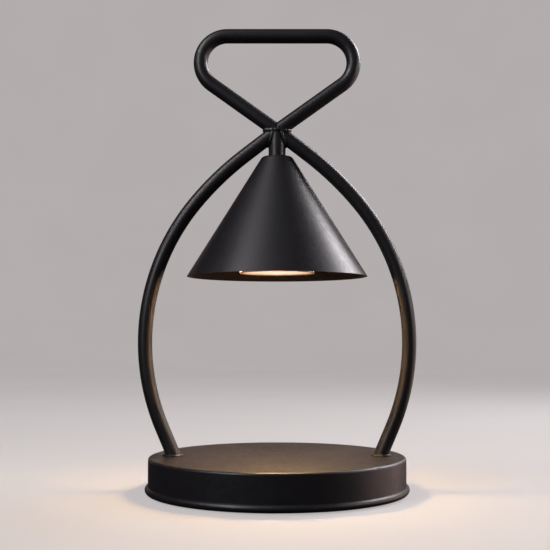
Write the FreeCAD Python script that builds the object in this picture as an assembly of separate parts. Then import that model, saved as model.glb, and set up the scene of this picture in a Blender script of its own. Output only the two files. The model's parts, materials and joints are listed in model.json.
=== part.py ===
# Candle warmer lamp: a round base, an arch of bent tube with a carrying loop, and a cone shade over a lamp.
# Millimetres, +Z up, +Y to the rear. The origin is on the table, under the middle of the base.
import FreeCAD, Part
import math
import os

V = FreeCAD.Vector
UP = V(0, 0, 1)
REAR = V(0, 1, 0)
RIGHT = V(1, 0, 0)

# ---- Base -------------------------------------------------------------------------------------------
base_radius = 85.0            # pan wall, outside
seat_height = 24.0            # candle seat above the table
pan_sheet = 1.2
pan_inner_edge = 0.4          # inside rounding between seat and wall
bead_radius = 2.5             # bead curled round the bottom of the wall
bead_projection = 2.15        # bead beyond the wall
ground_gap = 0.8              # table to bead
cover_sheet = 1.0
cover_recess = 2.2            # underside of the cover above the bottom of the bead
cover_play = 0.3              # between cover and pan wall
plate_thickness = 5.0
plate_play = 4.8              # between weight plate and pan wall
plate_chamfer = 0.6
standoff_inset = 14.0         # middle of each standoff, from the outside of the pan wall
standoff_radius = 3.5
standoff_play = 1.0           # round the standoffs, in the weight plate
screw_radius = 1.5            # M3, for the cover, the terminal block and the lampholder
screw_point = 0.4             # chamfer at a screw's tip
screw_head_radius = 2.8
screw_head_side = 0.9         # straight part of the head
screw_head_crown = 0.8        # domed part
screw_recess_half_length = 1.7
screw_recess_half_width = 0.3
screw_recess_depth = 0.9
screw_play = 0.2              # round an M3 screw in a plain hole
cover_screw_grip = 8.0        # length in the standoff
tap_beyond_screw = 2.0        # blind end of a tapped hole
foot_inset = 15.0             # middle of each rubber foot, from the outside of the pan wall
foot_radius = 6.0
foot_edge = 0.5               # rounding where a foot meets the table
foot_neck_radius = 2.4
foot_barb_radius = 3.3
foot_barb_tip_radius = 1.7
foot_barb_height = 2.4

# ---- Cord inlet -------------------------------------------------------------------------------------
inlet_bore_radius = 3.2
inlet_barrel_radius = 4.8
inlet_flange_radius = 6.0
inlet_flange_proud = 1.4      # beyond the pan wall
inlet_flange_edge = 0.6       # rounding of the flange
inlet_over_bead = 0.6         # between flange and bead
inlet_barb_radius = 5.5
inlet_barb_length = 2.6
inlet_barrel_length = 9.0     # inside the pan wall
inlet_room = 1.5              # round the barrel, in the weight plate

# ---- Threads and turned edges -------------------------------------------------------------------------
thread_radius = 5.0           # M10 x 1, hollow, for the studs and the nipple
thread_chamfer = 0.5
thread_play = 0.2             # round a thread in a plain hole
nut_width = 14.0              # across flats
thin_nut_height = 3.0
edge_break = 0.3              # chamfer on a turned edge

# ---- Tube frame -------------------------------------------------------------------------------------
tube_radius = 4.75            # 3/8 inch tube
tube_wall = 1.0
crossing_height = 240.5       # where all tube centrelines meet on the stem's axis
arm_slope = 37.5              # degrees below level, at the crossing
shoulder_run = 50.4           # crossing to the corner of the shoulder bend
foot_lean = 23.0              # degrees from upright, at the base
hip_run = 106.9               # stud to the corner of the long lower bend
shoulder_share = 0.21         # share of the run between the two corners that the shoulder bend takes
loop_rise = 63.85             # crossing to the centreline of the loop's top bar
loop_half_width = 51.2        # centreline of the loop's corners, from the middle
loop_corner_radius = 18.0
stem_length = 17.5            # crossing to the shade
stem_wall = 0.7               # round the thread in its lower end
stem_shoulder = 1.3           # step that the nipple screws up to
weld_radius = 1.5             # bead under the loop
cope_weld_radius = 1.2        # beads round the ends of the arms

# ---- Foot studs ---------------------------------------------------------------------------------------
stud_inset = 16.0             # middle of each stud, from the outside of the pan wall
stud_wall = 1.5
stud_flange_radius = 6.9
stud_flange_thickness = 1.2
stud_play = 0.25              # round the stud, in the pan, the weight plate and the washer
stud_washer_radius = 9.0
stud_washer_thickness = 1.5
stud_nut_height = 4.0
stud_beyond_nut = 1.0
bush_flange_radius = 4.7
bush_flange_thickness = 1.2
bush_length = 6.0
bush_wall = 1.1

# ---- Shade and what clamps it -----------------------------------------------------------------------
shade_height = 80.1
shade_rim_radius = 60.0
shade_top_radius = 10.0       # where the cone would meet the flat top
shade_sheet = 0.9
shade_inner_corner = 1.7      # inside rounding between the cone and the flat top
nipple_in_stem = 7.0
nipple_wall = 1.0
nipple_beyond_nut = 0.6
shade_washer_margin = 2.4     # edge of the washer inside the shade's flat top
shade_washer_thickness = 0.8
bracket_sheet = 1.2
bracket_half_width = 6.5
bracket_leg_gap = 0.5         # between the nut's flats and the legs
bracket_leg_drop = 6.6        # under its top, down to the lampholder
bracket_bend = 1.0            # outside rounding of its bends
bracket_foot_margin = 2.2     # foot beyond the middle of its screw

# ---- Lampholder, GU10 -------------------------------------------------------------------------------
holder_height = 19.0
holder_half_length = 14.2
holder_half_width = 9.5
holder_edge = 0.8             # rounding of the ceramic
holder_screw_offset = 10.5
holder_counterbore = 2.4
holder_screw_beyond = 0.8     # screw end above the bracket's foot
pin_circle = 5.0              # radius on which the lamp's two pins stand
pin_neck_radius = 1.5
pin_head_radius = 2.5
pin_head_height = 1.8
pin_play = 0.3                # round neck and head
lock_plate = 3.6              # ceramic under the pin heads
twist_angle = 30.0            # degrees between locked and free
chamber_height = 4.2          # for the pin heads and the springs on them
contact_sheet = 0.5
contact_half_width = 1.4
contact_reach = 1.8           # spring inward of the pin's middle
contact_riser = 2.0           # riser outward of the pin's middle
contact_tab_drop = 5.5        # soldering tab below the top of the holder
contact_headroom = 3.0        # space above the tabs

# ---- Lamp, 50 mm reflector with GU10 base -------------------------------------------------------------
seat_gap = 0.3                # the contacts press the lamp this far off the holder
lamp_length = 46.2            # face to the top of the lamp's base
lamp_face_radius = 25.0
lamp_rim_height = 3.6
lamp_rim_step = 1.0           # rim beyond the bowl
lamp_glass = 1.6
lamp_bowl_bulge = 1.6         # how far the bowl's side stands off a straight cone
lamp_neck_radius = 12.0
lamp_collar_height = 1.5      # straight part of the base, at the neck
lamp_shoulder_height = 3.7    # taper between collar and cap
lamp_cap_radius = 9.0
lamp_cap_height = 8.0         # straight part that meets the holder
lamp_cap_chamfer = 0.6
lens_thickness = 1.8
lens_recess = 0.5
lens_flat_margin = 2.4        # flat ring round the lens's domed part
lens_dome = 0.4               # bulge of the lens, inside the rim
pin_root = 3.0                # pin length inside the lamp's base
capsule_radius = 4.6
capsule_wall = 1.0
capsule_height = 18.0
pinch_height = 5.0
pinch_half_thickness = 1.8
filament_radius = 0.8
filament_length = 7.0

# ---- Wiring inside ----------------------------------------------------------------------------------
wire_radius = 1.0
wire_gap = 0.2                # between the two wires, side by side in the tube
wire_play = 0.2               # round a wire in a moulded hole
wire_crossing_bend = 5.0      # centreline radius, where the stem turns the wires down
wire_rise_bend = 5.0          # where they turn up into the stud
wire_sway_bend = 10.0         # gentle bends in the base
wire_stud_bend = 25.0         # where they leave the stud and lean with the arm
wire_straight_out = 5.0       # straight stretch out of the terminal block
wire_settling = 12.0          # stretch in which they come down beside each other
block_near_end = 12.0         # terminal block, from the middle of the base
block_length = 17.0
block_web = 3.0               # thickness of the web between the poles
head_room = 0.3               # between the block's fixing screw and the poles
pole_wall = 1.2
pole_over_axis = 4.6          # weight plate above the axis of the poles
sleeve_play = 0.3             # round a wire in its brass sleeve
sleeve_wall = 0.9
sleeve_inset = 2.0            # brass sleeve inside each end of its pole
turret_radius = 2.8
turret_drop = 1.8             # turrets below the poles
turret_offset = 4.4           # screw turrets, from the middle of the block
clamp_screw_radius = 1.3
clamp_screw_play = 0.3
clamp_screw_sunk = 0.8        # screw ends inside their turrets
clamp_slot_half_width = 0.25
clamp_slot_depth = 0.8

# ---- Levels and places that follow --------------------------------------------------------------------
bead_centre_height = ground_gap + bead_radius
pan_edge_radius = pan_inner_edge + pan_sheet
wall_inside = base_radius - pan_sheet
standoff_circle = base_radius - standoff_inset
foot_circle = base_radius - foot_inset
stud_offset = base_radius - stud_inset
cover_bottom = ground_gap + cover_recess
cover_top = cover_bottom + cover_sheet
pan_underside = seat_height - pan_sheet
plate_bottom = pan_underside - plate_thickness
flange_top = seat_height + stud_flange_thickness
stud_washer_bottom = plate_bottom - stud_washer_thickness
stud_nut_bottom = stud_washer_bottom - stud_nut_height
stud_end = stud_nut_bottom - stud_beyond_nut
stud_bore_radius = thread_radius - stud_wall
bush_bottom = stud_end - bush_flange_thickness
bush_bore_radius = stud_bore_radius - bush_wall
inlet_height = bead_centre_height + bead_radius + inlet_over_bead + inlet_flange_radius
inlet_inner_end = wall_inside - inlet_barrel_length
inlet_outer_end = base_radius + inlet_flange_proud
tube_bore_radius = tube_radius - tube_wall
stem_radius = thread_radius + stem_wall
stem_bore_radius = thread_radius - stem_shoulder
nipple_bore_radius = thread_radius - nipple_wall
loop_height = crossing_height + loop_rise
shade_top_height = crossing_height - stem_length
shade_rim_height = shade_top_height - shade_height
shade_ceiling = shade_top_height - shade_sheet
shade_washer_radius = shade_top_radius - shade_washer_margin
shade_washer_bottom = shade_ceiling - shade_washer_thickness
shade_nut_bottom = shade_washer_bottom - thin_nut_height
nipple_top = shade_top_height + nipple_in_stem
bracket_top_underside = shade_nut_bottom - bracket_sheet
bracket_nut_bottom = bracket_top_underside - thin_nut_height
nipple_end = bracket_nut_bottom - nipple_beyond_nut
holder_top = bracket_top_underside - bracket_leg_drop
holder_bottom = holder_top - holder_height
bracket_foot_top = holder_top + bracket_sheet
lock_top = holder_bottom + lock_plate
chamber_top = lock_top + chamber_height
head_bottom = lock_top + pin_play
head_top = head_bottom + pin_head_height
spring_bottom = head_top + pin_play
tab_height = holder_top - contact_tab_drop
lamp_top = holder_bottom - seat_gap
lamp_cap_bottom = lamp_top - lamp_cap_height
lamp_neck = lamp_cap_bottom - lamp_shoulder_height - lamp_collar_height
lamp_face_height = lamp_top - lamp_length
lens_radius = lamp_face_radius - lamp_glass
lens_bottom = lamp_face_height + lens_recess
lens_top = lens_bottom + lens_thickness
pinch_bottom = lamp_neck - pinch_height
wire_spacing = wire_radius + wire_gap / 2
sleeve_bore_radius = wire_radius + sleeve_play
sleeve_radius = sleeve_bore_radius + sleeve_wall
pole_radius = sleeve_radius + pole_wall
pole_pitch = 2 * (pole_radius + screw_head_radius + head_room)
pole_height = plate_bottom - pole_over_axis
turret_bottom = pole_height - pole_radius - turret_drop
block_middle = block_near_end + block_length / 2
block_far_end = block_near_end + block_length
wire_low = (cover_top + bush_bottom) / 2
far = 1000.0                  # larger than the lamp, for cutting bodies


# ---- Building blocks ----------------------------------------------------------------------------------
def turned(points):
    """Solid of revolution about Z. Each point is (radius, height); three in a tuple are an arc."""
    edges = []
    first = None
    last = None
    for item in points:
        if isinstance(item[0], tuple):
            start, middle, end = [V(r, 0, z) for r, z in item]
            if last is not None and (start - last).Length > 1e-6:
                edges.append(Part.LineSegment(last, start).toShape())
            edges.append(Part.Arc(start, middle, end).toShape())
        else:
            start = end = V(item[0], 0, item[1])
            if last is not None:
                edges.append(Part.LineSegment(last, start).toShape())
        if first is None:
            first = start
        last = end
    edges.append(Part.LineSegment(last, first).toShape())
    return Part.Face(Part.Wire(edges)).revolve(V(), UP, 360)


def bowed(start, end, bulge):
    """Arc between two (radius, height) points, its middle this far to the right of the way there."""
    along = V(end[0] - start[0], 0, end[1] - start[1])
    side = V(along.z, 0, -along.x).normalize() * bulge
    middle = ((start[0] + end[0]) / 2 + side.x, (start[1] + end[1]) / 2 + side.z)
    return (start, middle, end)


def crowned(radius, crown, height):
    """Arc of a dome seen from below: its crown on the axis, its edge at this radius and height."""
    sphere = (radius ** 2 + crown ** 2) / (2 * crown)
    half_way = radius / 2
    drop = sphere - math.sqrt(sphere ** 2 - half_way ** 2)
    return ((0, height - crown), (half_way, height - crown + drop), (radius, height))


def quarter(start, corner, end):
    """Quarter circle that rounds a square corner between two points."""
    centre = (start[0] + end[0] - corner[0], start[1] + end[1] - corner[1])
    share = math.sqrt(0.5)
    middle = (centre[0] + (corner[0] - centre[0]) * share, centre[1] + (corner[1] - centre[1]) * share)
    return (start, middle, end)


def upright(radius, bottom, top, x=0.0, y=0.0):
    return Part.makeCylinder(radius, top - bottom, V(x, y, bottom))


def level_rod(radius, start, length):
    """Cylinder along +X from a point."""
    return Part.makeCylinder(radius, length, start, RIGHT)


def ring(outer, inner, bottom, top):
    return upright(outer, bottom, top).cut(upright(inner, bottom, top))


def block(x0, x1, y0, y1, z0, z1):
    return Part.makeBox(x1 - x0, y1 - y0, z1 - z0, V(x0, y0, z0))


def right_of_middle(bottom, top):
    return block(0, far, -far, far, bottom, top)


def hexagon(width, bottom, top):
    """Hexagonal bar with two of its flats facing left and right."""
    corner = width / 2 / math.cos(math.radians(30))
    angles = [math.radians(60 * i) for i in range(7)]
    points = [V(corner * math.sin(a), corner * math.cos(a), bottom) for a in angles]
    return Part.Face(Part.makePolygon(points)).extrude(UP * (top - bottom))


def nut(bottom, top):
    """Hexagonal M10 nut, its corners turned off at 30 degrees at both ends."""
    flat = nut_width / 2
    corner = flat / math.cos(math.radians(30))
    drop = (corner - flat) * math.tan(math.radians(30))
    envelope = turned([(0, bottom), (flat, bottom), (corner, bottom + drop), (corner, top - drop),
                       (flat, top), (0, top)])
    return hexagon(nut_width, bottom, top).common(envelope).cut(upright(thread_radius, bottom, top))


def screw_from_below(head_face, tip):
    """M3 screw pointing up, with a domed, cross-slotted head below head_face."""
    side_bottom = head_face - screw_head_side
    crown_bottom = side_bottom - screw_head_crown
    screw = turned([crowned(screw_head_radius, screw_head_crown, side_bottom),
                    (screw_head_radius, head_face), (screw_radius, head_face),
                    (screw_radius, tip - screw_point), (screw_radius - screw_point, tip), (0, tip)])
    reach = screw_recess_half_length
    half = screw_recess_half_width
    slot = block(-reach, reach, -half, half, crown_bottom, crown_bottom + screw_recess_depth)
    return screw.cut(at_angles(slot, (0, 90)))


def circles_at(solid, height):
    """The solid's level circular edges at one height."""
    return [e for e in solid.Edges if isinstance(e.Curve, Part.Circle)
            and abs(e.BoundBox.ZMin - height) < 0.01 and e.BoundBox.ZLength < 0.01]


def at_angles(piece, angles):
    """Copies of a piece, turned about Z, as one group of solids."""
    copies = []
    for angle in angles:
        copy = piece.copy()
        copy.rotate(V(), UP, angle)
        copies.append(copy)
    return Part.Compound(copies)


def mirrored(piece):
    """The same piece on the left."""
    return piece.mirror(V(), RIGHT)


def both_sides(piece, offset):
    """A piece made on the axis, moved to the right by an offset, and its mirror image."""
    piece.translate(RIGHT * offset)
    return Part.Compound([piece, mirrored(piece)])


def half_turn(before, corner, after):
    return (corner - before).getAngle(after - corner) / 2


def setback(before, corner, after, radius):
    """How far before its corner a bend of this radius starts."""
    return radius * math.tan(half_turn(before, corner, after))


def bent_path(points, setbacks):
    """Straight runs joined by tangent arcs, each starting its setback before its corner."""
    edges = []
    start = points[0]
    for before, corner, after, back in zip(points, points[1:], points[2:], setbacks):
        arriving = (corner - before).normalize()
        leaving = (after - corner).normalize()
        half = half_turn(before, corner, after)
        first = corner - arriving * back
        last = corner + leaving * back
        sagitta = back / math.sin(half) - back / math.tan(half)
        middle = corner + (leaving - arriving).normalize() * sagitta
        if (first - start).Length > 1e-6:
            edges.append(Part.LineSegment(start, first).toShape())
        edges.append(Part.Arc(first, middle, last).toShape())
        start = last
    edges.append(Part.LineSegment(start, points[-1]).toShape())
    return Part.Wire(edges)


def swept(path, radius):
    """Round bar along a path."""
    first = path.Edges[0]
    start = first.valueAt(first.FirstParameter)
    direction = first.tangentAt(first.FirstParameter)
    section = Part.Wire(Part.Circle(start, direction, radius).toShape())
    return path.makePipeShell([section], True, False)


# ---- Centrelines of the tube frame --------------------------------------------------------------------
def arm_corners():
    """Crossing, shoulder corner, hip corner and foot of the right arm's centreline."""
    slope = math.radians(arm_slope)
    lean = math.radians(foot_lean)
    crossing = V(0, 0, crossing_height)
    shoulder = crossing + V(math.cos(slope), 0, -math.sin(slope)) * shoulder_run
    foot = V(stud_offset, 0, flange_top)
    hip = foot + V(math.sin(lean), 0, math.cos(lean)) * hip_run
    return [crossing, shoulder, hip, foot]


def arm_setbacks():
    """The two bends of an arm take up the whole run between their corners."""
    crossing, shoulder, hip, foot = arm_corners()
    run = (hip - shoulder).Length
    return [run * shoulder_share, run * (1 - shoulder_share)]


def extended(corners, length):
    """The same corners, with both end points moved outward."""
    head = corners[0] + (corners[0] - corners[1]).normalize() * length
    tail = corners[-1] + (corners[-1] - corners[-2]).normalize() * length
    return [head] + corners[1:-1] + [tail]


def loop_slope():
    """Angle of the loop's legs above level, in radians: they pass the corner bends as tangents."""
    bend_centre = V(loop_half_width - loop_corner_radius, 0, loop_rise - loop_corner_radius)
    return math.atan2(bend_centre.z, bend_centre.x) - math.asin(loop_corner_radius / bend_centre.Length)


def loop_corners():
    """Top middle, right corner and crossing of the loop's centreline."""
    corner = V(loop_rise / math.tan(loop_slope()), 0, loop_height)
    return [V(0, 0, loop_height), corner, V(0, 0, crossing_height)]


# ---- Pieces of the base -------------------------------------------------------------------------------
def standoff_angles():
    return [45 + 90 * i for i in range(4)]


def foot_angles():
    return [90 * i for i in range(4)]


def inlet_cylinder(radius, start, end):
    return Part.makeCylinder(radius, end - start, V(0, start, inlet_height), REAR)


def base_pan():
    """Drawn pan: flat seat, rounded edge, straight wall and a bead curled outward round the bottom."""
    bead_axis = base_radius + bead_projection - bead_radius
    outside = math.sqrt(bead_radius ** 2 - (base_radius - bead_axis) ** 2)
    inside = math.sqrt(bead_radius ** 2 - (wall_inside - bead_axis) ** 2)
    outer_edge = base_radius - pan_edge_radius
    inner_edge = wall_inside - pan_inner_edge
    pan = turned([
        (0, seat_height),
        quarter((outer_edge, seat_height), (base_radius, seat_height),
                (base_radius, seat_height - pan_edge_radius)),
        ((base_radius, bead_centre_height + outside),
         (bead_axis + bead_radius, bead_centre_height),
         (wall_inside, bead_centre_height - inside)),
        quarter((wall_inside, pan_underside - pan_inner_edge), (wall_inside, pan_underside),
                (inner_edge, pan_underside)),
        (0, pan_underside),
    ])
    stud_hole = upright(thread_radius + stud_play, pan_underside, seat_height)
    pan = pan.cut(both_sides(stud_hole, stud_offset))
    return pan.cut(inlet_cylinder(inlet_barrel_radius, 0, far).common(upright(far / 2, 0, pan_underside)))


def weight_plate():
    """Flat weight under the seat, drilled for studs, standoffs and terminal block, open over the inlet."""
    plate = upright(wall_inside - plate_play, plate_bottom, pan_underside)
    plate = plate.makeChamfer(plate_chamfer, [e for e in plate.Edges if isinstance(e.Curve, Part.Circle)])
    stud_hole = upright(thread_radius + stud_play, plate_bottom, pan_underside)
    plate = plate.cut(both_sides(stud_hole, stud_offset))
    standoff_hole = upright(standoff_radius + standoff_play, plate_bottom, pan_underside, standoff_circle)
    plate = plate.cut(at_angles(standoff_hole, standoff_angles()))
    half_notch = inlet_barrel_radius + inlet_room
    notch_start = inlet_inner_end - inlet_room
    plate = plate.cut(block(-half_notch, half_notch, notch_start, far, plate_bottom, pan_underside))
    return plate.cut(upright(screw_radius, plate_bottom, pan_underside, block_middle))


def bottom_cover():
    """Disc that closes the base, with holes for its screws and feet."""
    cover = upright(wall_inside - cover_play, cover_bottom, cover_top)
    screw_hole = upright(screw_radius + screw_play, cover_bottom, cover_top, standoff_circle)
    foot_hole = upright(foot_neck_radius, cover_bottom, cover_top, foot_circle)
    return cover.cut(at_angles(screw_hole, standoff_angles())).cut(at_angles(foot_hole, foot_angles()))


def cover_standoffs():
    """Tapped pillars welded under the seat."""
    pillar = upright(standoff_radius, cover_top, pan_underside, standoff_circle)
    tap_end = cover_top + cover_screw_grip + tap_beyond_screw
    tapped = upright(screw_radius, cover_top, tap_end, standoff_circle)
    return at_angles(pillar.cut(tapped), standoff_angles())


def cover_screws():
    screw = screw_from_below(cover_bottom, cover_top + cover_screw_grip)
    screw.translate(RIGHT * standoff_circle)
    return at_angles(screw, standoff_angles())


def rubber_feet():
    """Push-in feet: pad on the table, neck through the cover, barb above it."""
    barb_top = cover_top + foot_barb_height
    foot = turned([
        (0, 0), quarter((foot_radius - foot_edge, 0), (foot_radius, 0), (foot_radius, foot_edge)),
        (foot_radius - foot_edge, cover_bottom), (foot_neck_radius, cover_bottom),
        (foot_neck_radius, cover_top), (foot_barb_radius, cover_top),
        (foot_barb_tip_radius, barb_top), (0, barb_top),
    ])
    foot.translate(RIGHT * foot_circle)
    return at_angles(foot, foot_angles())


def cord_bushing():
    """Snap-in bushing: flange outside the wall, barb inside it, plain bore for the cord."""
    flange = inlet_cylinder(inlet_flange_radius, 0, inlet_outer_end)
    rim = [e for e in flange.Edges if e.BoundBox.YMin > inlet_outer_end - 0.01]
    flange = flange.makeFillet(inlet_flange_edge, rim).cut(upright(base_radius, 0, seat_height))
    barrel = inlet_cylinder(inlet_barrel_radius, inlet_inner_end, inlet_outer_end - inlet_flange_edge)
    barb = inlet_cylinder(inlet_barb_radius, wall_inside - inlet_barb_length, far)
    barb = barb.common(upright(wall_inside, 0, seat_height))
    bushing = barrel.fuse([flange, barb]).removeSplitter()
    return bushing.cut(inlet_cylinder(inlet_bore_radius, 0, far))


# ---- Studs that hold the arms ---------------------------------------------------------------------------
def foot_studs():
    """Hollow studs: a flange on the seat, threaded shank down through pan, plate, washer and nut."""
    stud = turned([
        (stud_bore_radius, flange_top), (stud_flange_radius - edge_break, flange_top),
        (stud_flange_radius, flange_top - edge_break), (stud_flange_radius, seat_height),
        (thread_radius, seat_height), (thread_radius, stud_end + thread_chamfer),
        (thread_radius - thread_chamfer, stud_end), (stud_bore_radius, stud_end),
    ])
    return both_sides(stud, stud_offset)


def foot_washers():
    washer = ring(stud_washer_radius, thread_radius + stud_play, stud_washer_bottom, plate_bottom)
    return both_sides(washer, stud_offset)


def foot_nuts():
    return both_sides(nut(stud_nut_bottom, stud_washer_bottom), stud_offset)


def wire_bush():
    """Plastic bush in the lower end of the stud that the wires go through."""
    bush = turned([
        (bush_bore_radius + edge_break, bush_bottom), (bush_flange_radius - edge_break, bush_bottom),
        (bush_flange_radius, bush_bottom + edge_break), (bush_flange_radius, stud_end),
        (stud_bore_radius, stud_end), (stud_bore_radius, stud_end + bush_length),
        (bush_bore_radius, stud_end + bush_length), (bush_bore_radius, bush_bottom + edge_break),
    ])
    bush.translate(RIGHT * stud_offset)
    return bush


# ---- Tube frame ---------------------------------------------------------------------------------------
def arm_bar(radius):
    """Right arm as a solid bar, both ends running past their joints."""
    path = bent_path(extended(arm_corners(), tube_radius * 2), arm_setbacks())
    return swept(path, radius)


def arm_right():
    """Bent tube, cut level on the stud's flange, coped round the stem and mitred under the loop."""
    tube = arm_bar(tube_radius).cut(arm_bar(tube_bore_radius))
    tube = tube.common(right_of_middle(flange_top, crossing_height))
    return tube.cut(upright(stem_radius, 0, far))


def arm_left():
    return mirrored(arm_right())


def loop_bar(radius):
    """Whole loop as a solid bar: its legs meet over the stem, cut level on top of it."""
    top, corner, crossing = loop_corners()
    back = setback(top, corner, crossing, loop_corner_radius)
    end = crossing + (crossing - corner).normalize() * tube_radius * 2
    bar = swept(bent_path([top, corner, end], [back]), radius)
    bar = bar.common(right_of_middle(crossing_height, far))
    return bar.fuse(mirrored(bar)).removeSplitter()


def handle_loop():
    return loop_bar(tube_radius).cut(loop_bar(tube_bore_radius))


def stem():
    """Turned upright: nipple screwed in below, side hole for the wires from the right arm."""
    body = turned([
        (thread_radius, shade_top_height), (stem_radius - edge_break, shade_top_height),
        (stem_radius, shade_top_height + edge_break), (stem_radius, crossing_height),
        (stem_bore_radius, crossing_height), (stem_bore_radius, nipple_top), (thread_radius, nipple_top),
    ])
    return body.cut(arm_bar(tube_bore_radius).common(right_of_middle(0, far)))


def loop_weld():
    """Bead round the level seam where the loop stands on the arms and the stem."""
    flattest = min(math.radians(arm_slope), loop_slope())
    seam = Part.Ellipse(V(0, 0, crossing_height), tube_radius / math.sin(flattest), tube_radius)
    return swept(Part.Wire(seam.toShape()), weld_radius)


def cope_weld():
    """Bead round the end of the right arm, on the stem, below the seam."""
    slope = math.radians(arm_slope)
    flank = math.sqrt(stem_radius ** 2 - tube_radius ** 2)
    middle = V(flank, 0, crossing_height - flank * math.tan(slope))
    underside = crossing_height - tube_radius / math.cos(slope)
    lowest = V(stem_radius, 0, underside - stem_radius * math.tan(slope))
    seam = Part.Ellipse(lowest, middle + REAR * tube_radius, middle)
    return swept(Part.Wire(seam.toShape()), cope_weld_radius).common(right_of_middle(0, crossing_height))


def weld_beads():
    """Weld metal outside the tubes and the stem."""
    right_cope = cope_weld()
    metal = loop_weld().fuse([right_cope, mirrored(right_cope)])
    right_bar = arm_bar(tube_radius)
    for tube in (right_bar, mirrored(right_bar), loop_bar(tube_radius)):
        metal = metal.cut(tube)
    return metal.cut(upright(stem_radius, shade_top_height, crossing_height))


# ---- Shade and its clamp ------------------------------------------------------------------------------
def shade():
    """Spun cone with a small flat top, bored for the nipple."""
    widening = (shade_rim_radius - shade_top_radius) / shade_height
    level_wall = shade_sheet * math.sqrt(1 + widening ** 2)
    body = turned([
        (0, shade_top_height), (shade_top_radius, shade_top_height), (shade_rim_radius, shade_rim_height),
        (shade_rim_radius - level_wall, shade_rim_height),
        (shade_top_radius - level_wall + shade_sheet * widening, shade_ceiling), (0, shade_ceiling),
    ])
    body = body.makeFillet(shade_inner_corner + shade_sheet, circles_at(body, shade_top_height))
    body = body.makeFillet(shade_inner_corner, circles_at(body, shade_ceiling))
    return body.cut(upright(thread_radius + thread_play, shade_ceiling, shade_top_height))


def stem_nipple():
    """Hollow nipple: holds stem, shade and bracket together and leads the wires down."""
    end_radius = thread_radius - thread_chamfer
    return turned([
        (nipple_bore_radius, nipple_end), (end_radius, nipple_end),
        (thread_radius, nipple_end + thread_chamfer), (thread_radius, nipple_top - thread_chamfer),
        (end_radius, nipple_top), (nipple_bore_radius, nipple_top),
    ])


def shade_washer():
    return ring(shade_washer_radius, thread_radius + thread_play, shade_washer_bottom, shade_ceiling)


def shade_nut():
    return nut(shade_nut_bottom, shade_washer_bottom)


def bracket_nut():
    return nut(bracket_nut_bottom, bracket_top_underside)


def holder_bracket():
    """Strip bent to a hat: the nipple through its top, the lampholder's screws in its feet."""
    inner = nut_width / 2 + bracket_leg_gap
    outer = inner + bracket_sheet
    foot_end = holder_screw_offset + bracket_foot_margin
    half = [(inner, bracket_top_underside), (inner, holder_top), (foot_end, holder_top),
            (foot_end, bracket_foot_top), (outer, bracket_foot_top), (outer, shade_nut_bottom)]
    outline = half + [(-x, z) for x, z in reversed(half)]
    outline.append(outline[0])
    face = Part.Face(Part.makePolygon([V(x, -bracket_half_width, z) for x, z in outline]))
    strip = face.extrude(REAR * (2 * bracket_half_width))
    bends = [e for e in strip.Edges if e.BoundBox.YLength > bracket_half_width
             and abs(abs(e.CenterOfMass.x) - outer) < 0.01 and e.CenterOfMass.z > bracket_foot_top + 0.1]
    strip = strip.makeFillet(bracket_bend, bends)
    strip = strip.cut(upright(thread_radius + thread_play, bracket_top_underside, shade_nut_bottom))
    return strip.cut(both_sides(upright(screw_radius, holder_top, bracket_foot_top), holder_screw_offset))


# ---- Lampholder ---------------------------------------------------------------------------------------
def rounded_bar(half_length, half_width, bottom, top):
    """Upright bar with half-round ends, long in X."""
    reach = half_length - half_width
    middle = block(-reach, reach, -half_width, half_width, bottom, top)
    ends = [upright(half_width, bottom, top, x) for x in (reach, -reach)]
    return middle.fuse(ends).removeSplitter()


def keyhole(bottom, top):
    """Curved slot for the rear pin: narrow where the pin locks, wide where its head comes through."""
    neck = pin_neck_radius + pin_play
    head = pin_head_radius + pin_play
    turn = math.radians(twist_angle)
    freed = V(math.sin(turn), math.cos(turn), 0)
    floor = V(0, 0, bottom)
    wedge = Part.Face(Part.makePolygon([floor, floor + REAR * far, floor + freed * far, floor]))
    slot = ring(pin_circle + neck, pin_circle - neck, bottom, top).common(wedge.extrude(UP * (top - bottom)))
    locked_end = upright(neck, bottom, top, 0, pin_circle)
    free_end = upright(head, bottom, top, freed.x * pin_circle, freed.y * pin_circle)
    return slot.fuse([locked_end, free_end])


def lampholder():
    """Ceramic block: keyholes below, ring-shaped chamber for the pin heads, wiring space above."""
    body = rounded_bar(holder_half_length, holder_half_width, holder_bottom, holder_top)
    body = body.makeFillet(holder_edge, [e for e in body.Edges if e.BoundBox.ZLength < 0.01])
    body = body.cut(at_angles(keyhole(holder_bottom, lock_top), (0, 180)))
    head = pin_head_radius + pin_play
    body = body.cut(ring(pin_circle + head, pin_circle - head, lock_top, chamber_top))
    half_width = contact_half_width + pin_play
    reach = pin_circle + contact_riser + contact_sheet
    headroom_top = tab_height + contact_headroom
    body = body.cut(block(-half_width, half_width, -reach, reach, chamber_top, headroom_top))
    wire_room = wire_radius + wire_play
    wire_slot = rounded_bar(wire_spacing + wire_room, wire_room, tab_height, holder_top)
    body = body.cut(at_angles(wire_slot, [90]))
    screw_hole = upright(screw_radius + screw_play, holder_bottom, holder_top)
    head_hole = upright(screw_head_radius + screw_play, holder_bottom, holder_bottom + holder_counterbore)
    screw_holes = [both_sides(hole, holder_screw_offset) for hole in (screw_hole, head_hole)]
    return body.cut(screw_holes)


def holder_screws():
    screw = screw_from_below(holder_bottom + holder_counterbore, bracket_foot_top + holder_screw_beyond)
    return both_sides(screw, holder_screw_offset)


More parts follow.
